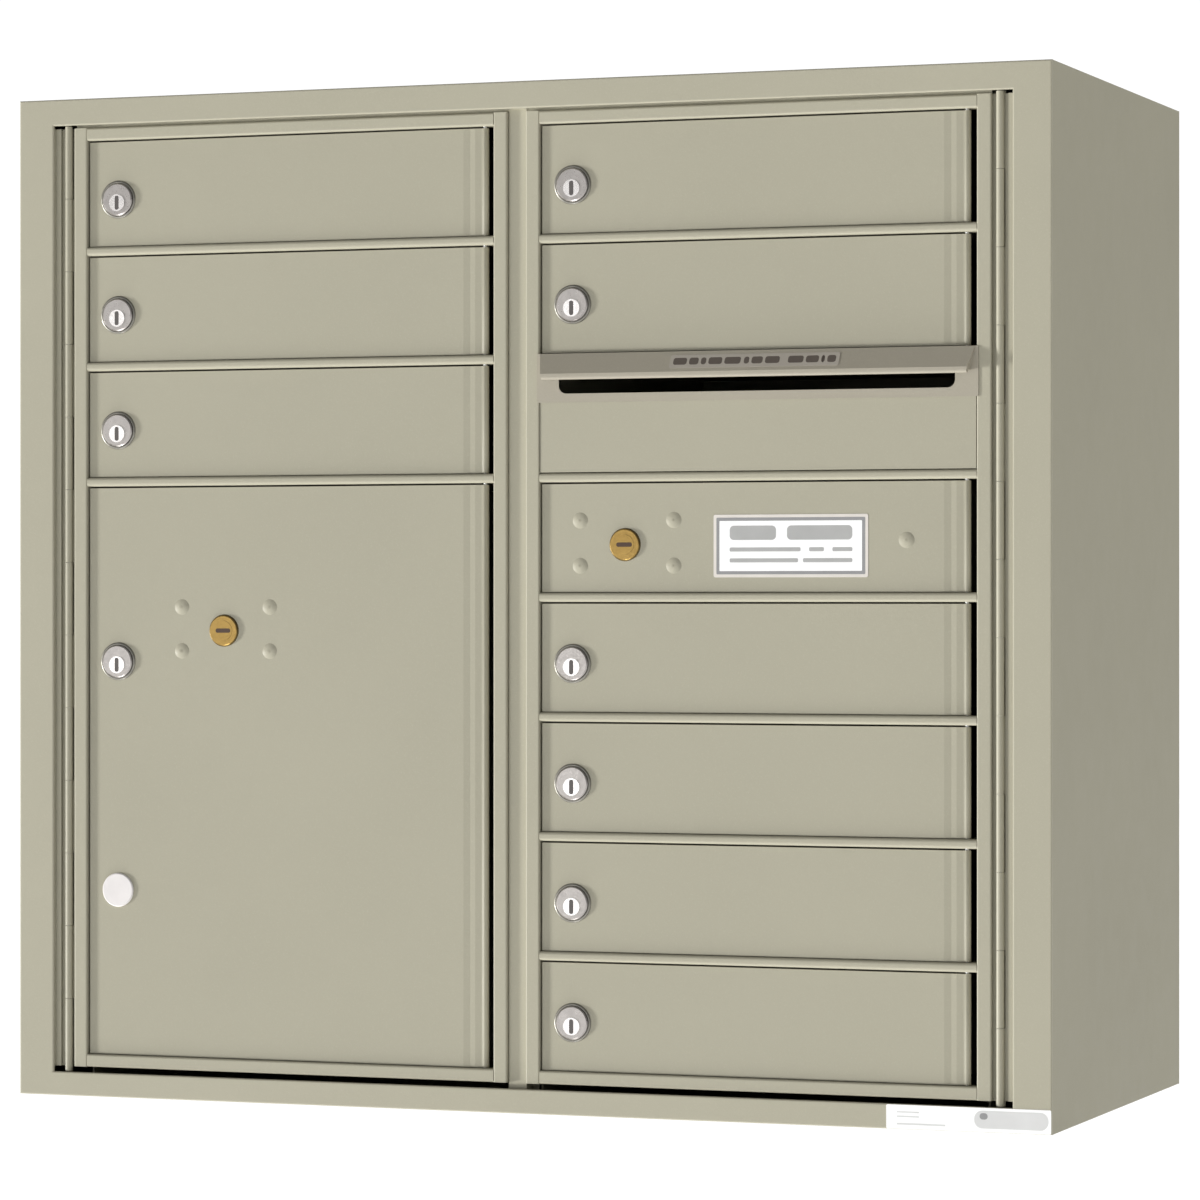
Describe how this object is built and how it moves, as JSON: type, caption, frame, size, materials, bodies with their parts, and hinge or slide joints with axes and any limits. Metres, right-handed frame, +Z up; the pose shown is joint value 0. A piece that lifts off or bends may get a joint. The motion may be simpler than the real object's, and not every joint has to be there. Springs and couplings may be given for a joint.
{
  "type": "cluster mailbox unit",
  "caption": "Wall-mounted steel mailbox cabinet: two hinged master frames with small letter-box doors, a parcel locker and a hooded outgoing-mail slot.",
  "frame": {"origin": "centre of the back face, which lies against the wall", "axes": "+X right as seen from the front, +Y towards the wall, +Z up"},
  "size_m": [0.8246, 0.3948, 0.7692],
  "materials": {
    "frame_paint": "satin warm grey powder coat",
    "door_paint": "satin warm grey powder coat",
    "shell_paint": "satin warm grey powder coat",
    "inner_paint": "satin powder coat, unlit inside",
    "plated_steel": "zinc plated",
    "lock_chrome": "bright chrome plate",
    "lock_brass": "worn brass",
    "cap_plastic": "off-white moulded plastic"
  },
  "bodies": {
    "cabinet": {"back_panel": "shell_paint", "top_panel": "shell_paint", "bottom_panel": "shell_paint", "left_side_panel": "shell_paint", "right_side_panel": "shell_paint", "front_trim": "frame_paint", "liner_walls": "inner_paint", "shelves": "inner_paint", "centre_post": "frame_paint", "fixed_hinge_leaves": "frame_paint", "frame_hinge_pins": "plated_steel"},
    "left_master": {"left_stiles": "frame_paint", "left_rails": "frame_paint", "left_moving_leaf": "frame_paint", "left_door_pins": "plated_steel"},
    "right_master": {"right_stiles": "frame_paint", "right_rails": "frame_paint", "right_moving_leaf": "frame_paint", "right_door_pins": "plated_steel", "slot_panel": "door_paint", "slot_hood": "door_paint", "slot_chute": "inner_paint"},
    "letter_box_door_1": {"tenant_door_1": "door_paint", "tenant_lock_1": "lock_chrome"},
    "letter_box_door_2": {"tenant_door_2": "door_paint", "tenant_lock_2": "lock_chrome"},
    "letter_box_door_3": {"tenant_door_3": "door_paint", "tenant_lock_3": "lock_chrome"},
    "letter_box_door_4": {"tenant_door_4": "door_paint", "tenant_lock_4": "lock_chrome"},
    "letter_box_door_5": {"tenant_door_5": "door_paint", "tenant_lock_5": "lock_chrome"},
    "letter_box_door_6": {"tenant_door_6": "door_paint", "tenant_lock_6": "lock_chrome"},
    "letter_box_door_7": {"tenant_door_7": "door_paint", "tenant_lock_7": "lock_chrome"},
    "letter_box_door_8": {"tenant_door_8": "door_paint", "tenant_lock_8": "lock_chrome"},
    "letter_box_door_9": {"tenant_door_9": "door_paint", "tenant_lock_9": "lock_chrome"},
    "parcel_locker_door": {"parcel_door": "door_paint", "parcel_lock": "lock_chrome", "parcel_postal_lock": "lock_brass", "parcel_hole_cap": "cap_plastic"},
    "collection_bin_door": {"collection_door": "door_paint", "collection_postal_lock": "lock_brass"},
    "letter_box_key_plug_1": {"tenant_plug_1": "lock_chrome"},
    "letter_box_key_plug_2": {"tenant_plug_2": "lock_chrome"},
    "letter_box_key_plug_3": {"tenant_plug_3": "lock_chrome"},
    "letter_box_key_plug_4": {"tenant_plug_4": "lock_chrome"},
    "letter_box_key_plug_5": {"tenant_plug_5": "lock_chrome"},
    "letter_box_key_plug_6": {"tenant_plug_6": "lock_chrome"},
    "letter_box_key_plug_7": {"tenant_plug_7": "lock_chrome"},
    "letter_box_key_plug_8": {"tenant_plug_8": "lock_chrome"},
    "letter_box_key_plug_9": {"tenant_plug_9": "lock_chrome"},
    "parcel_key_plug": {"parcel_plug": "lock_chrome"},
    "parcel_postal_key_plug": {"parcel_postal_plug": "lock_brass"},
    "collection_postal_key_plug": {"collection_postal_plug": "lock_brass"},
    "parcel_sliding_bolt": {"parcel_bolt": "plated_steel"},
    "collection_sliding_bolt": {"collection_bolt": "plated_steel"}
  },
  "joints": [
    {"name": "left_master_hinge", "type": "hinge", "parent": "cabinet", "child": "left_master", "pos_m": [-0.3725, -0.382, 0], "axis": [0, 0, -1], "range_deg": [0, 100]},
    {"name": "right_master_hinge", "type": "hinge", "parent": "cabinet", "child": "right_master", "pos_m": [0.3725, -0.382, 0], "axis": [0, 0, 1], "range_deg": [0, 100]},
    {"name": "letter_box_hinge_1", "type": "hinge", "parent": "left_master", "child": "letter_box_door_1", "pos_m": [-0.0271, -0.3788, 0.31115], "axis": [0, 0, 1], "range_deg": [0, 100]},
    {"name": "letter_box_hinge_2", "type": "hinge", "parent": "left_master", "child": "letter_box_door_2", "pos_m": [-0.0271, -0.3788, 0.22225], "axis": [0, 0, 1], "range_deg": [0, 100]},
    {"name": "letter_box_hinge_3", "type": "hinge", "parent": "left_master", "child": "letter_box_door_3", "pos_m": [-0.0271, -0.3788, 0.13335], "axis": [0, 0, 1], "range_deg": [0, 100]},
    {"name": "letter_box_hinge_4", "type": "hinge", "parent": "right_master", "child": "letter_box_door_4", "pos_m": [0.347, -0.3788, 0.31115], "axis": [0, 0, 1], "range_deg": [0, 100]},
    {"name": "letter_box_hinge_5", "type": "hinge", "parent": "right_master", "child": "letter_box_door_5", "pos_m": [0.347, -0.3788, 0.22225], "axis": [0, 0, 1], "range_deg": [0, 100]},
    {"name": "letter_box_hinge_6", "type": "hinge", "parent": "right_master", "child": "letter_box_door_6", "pos_m": [0.347, -0.3788, -0.04445], "axis": [0, 0, 1], "range_deg": [0, 100]},
    {"name": "letter_box_hinge_7", "type": "hinge", "parent": "right_master", "child": "letter_box_door_7", "pos_m": [0.347, -0.3788, -0.13335], "axis": [0, 0, 1], "range_deg": [0, 100]},
    {"name": "letter_box_hinge_8", "type": "hinge", "parent": "right_master", "child": "letter_box_door_8", "pos_m": [0.347, -0.3788, -0.22225], "axis": [0, 0, 1], "range_deg": [0, 100]},
    {"name": "letter_box_hinge_9", "type": "hinge", "parent": "right_master", "child": "letter_box_door_9", "pos_m": [0.347, -0.3788, -0.31115], "axis": [0, 0, 1], "range_deg": [0, 100]},
    {"name": "letter_box_key_1", "type": "hinge", "parent": "letter_box_door_1", "child": "letter_box_key_plug_1", "pos_m": [-0.3302, -0.382, 0.30375], "axis": [0, -1, 0], "range_deg": [0, 90]},
    {"name": "letter_box_key_2", "type": "hinge", "parent": "letter_box_door_2", "child": "letter_box_key_plug_2", "pos_m": [-0.3302, -0.382, 0.21485], "axis": [0, -1, 0], "range_deg": [0, 90]},
    {"name": "letter_box_key_3", "type": "hinge", "parent": "letter_box_door_3", "child": "letter_box_key_plug_3", "pos_m": [-0.3302, -0.382, 0.12595], "axis": [0, -1, 0], "range_deg": [0, 90]},
    {"name": "letter_box_key_4", "type": "hinge", "parent": "letter_box_door_4", "child": "letter_box_key_plug_4", "pos_m": [0.0439, -0.382, 0.30375], "axis": [0, -1, 0], "range_deg": [0, 90]},
    {"name": "letter_box_key_5", "type": "hinge", "parent": "letter_box_door_5", "child": "letter_box_key_plug_5", "pos_m": [0.0439, -0.382, 0.21485], "axis": [0, -1, 0], "range_deg": [0, 90]},
    {"name": "letter_box_key_6", "type": "hinge", "parent": "letter_box_door_6", "child": "letter_box_key_plug_6", "pos_m": [0.0439, -0.382, -0.05185], "axis": [0, -1, 0], "range_deg": [0, 90]},
    {"name": "letter_box_key_7", "type": "hinge", "parent": "letter_box_door_7", "child": "letter_box_key_plug_7", "pos_m": [0.0439, -0.382, -0.14075], "axis": [0, -1, 0], "range_deg": [0, 90]},
    {"name": "letter_box_key_8", "type": "hinge", "parent": "letter_box_door_8", "child": "letter_box_key_plug_8", "pos_m": [0.0439, -0.382, -0.22965], "axis": [0, -1, 0], "range_deg": [0, 90]},
    {"name": "letter_box_key_9", "type": "hinge", "parent": "letter_box_door_9", "child": "letter_box_key_plug_9", "pos_m": [0.0439, -0.382, -0.31855], "axis": [0, -1, 0], "range_deg": [0, 90]},
    {"name": "parcel_hinge", "type": "hinge", "parent": "left_master", "child": "parcel_locker_door", "pos_m": [-0.0271, -0.3788, -0.13335], "axis": [0, 0, 1], "range_deg": [0, 100]},
    {"name": "parcel_key", "type": "hinge", "parent": "parcel_locker_door", "child": "parcel_key_plug", "pos_m": [-0.3302, -0.382, -0.05185], "axis": [0, -1, 0], "range_deg": [0, 90]},
    {"name": "parcel_postal_key", "type": "hinge", "parent": "parcel_locker_door", "child": "parcel_postal_key_plug", "pos_m": [-0.2407, -0.382, -0.02535], "axis": [0, -1, 0], "range_deg": [0, 90]},
    {"name": "collection_hinge", "type": "hinge", "parent": "right_master", "child": "collection_bin_door", "pos_m": [0.347, -0.3788, 0.04445], "axis": [0, 0, 1], "range_deg": [0, 100]},
    {"name": "collection_postal_key", "type": "hinge", "parent": "collection_bin_door", "child": "collection_postal_key_plug", "pos_m": [0.0854, -0.382, 0.03895], "axis": [0, -1, 0], "range_deg": [0, 90]},
    {"name": "parcel_bolt_slide", "type": "slide", "parent": "parcel_locker_door", "child": "parcel_sliding_bolt", "axis": [-1, 0, 0], "range_m": [0, 0.009]},
    {"name": "collection_bolt_slide", "type": "slide", "parent": "collection_bin_door", "child": "collection_sliding_bolt", "axis": [-1, 0, 0], "range_m": [0, 0.009]}
  ],
  "couplings": [
    {"joint": "parcel_bolt_slide", "follows": "parcel_postal_key", "m_per_rad": 0.005729},
    {"joint": "collection_bolt_slide", "follows": "collection_postal_key", "m_per_rad": 0.005729}
  ]
}
